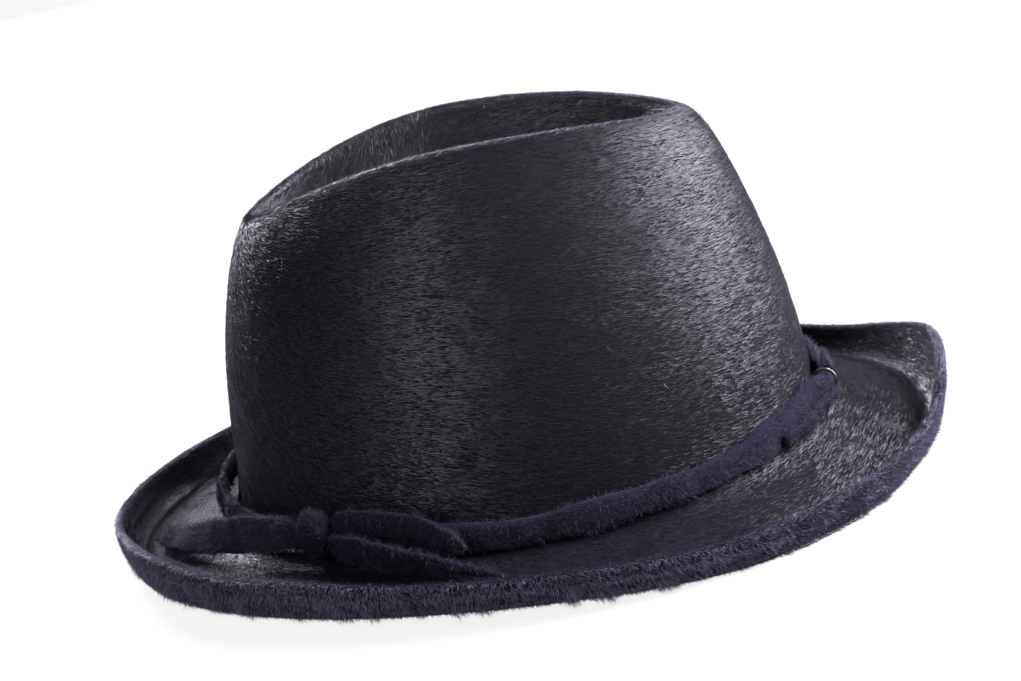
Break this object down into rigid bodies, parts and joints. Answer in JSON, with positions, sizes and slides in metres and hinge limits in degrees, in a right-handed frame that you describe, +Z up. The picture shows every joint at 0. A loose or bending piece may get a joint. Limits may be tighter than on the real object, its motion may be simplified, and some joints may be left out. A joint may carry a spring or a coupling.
{
  "type": "felt hat",
  "caption": "Brushed felt hat with a long centre dent, a rolled-up brim, and a felt strap with a small wire ring and a soft bow on its left side.",
  "frame": {"origin": "centre of the brim's box, on the plane that the brim rests on", "axes": "+Z up through the crown, front of the hat towards -Y, wearer's left towards +X"},
  "size_m": [0.243, 0.298, 0.1315],
  "materials": {
    "body_felt": "long brushed nap, dark navy",
    "strap_felt": "short nap, dark navy",
    "ring_wire": "pale polished wire"
  },
  "bodies": {
    "root": {"hat_body": "body_felt", "band": "strap_felt", "band_ring": "ring_wire", "ring_left_strand": "strap_felt", "ring_back_strand": "strap_felt", "bow_knot": "strap_felt", "bow_left_tail": "strap_felt", "bow_right_loop": "strap_felt", "bow_right_tail": "strap_felt"}
  },
  "joints": []
}
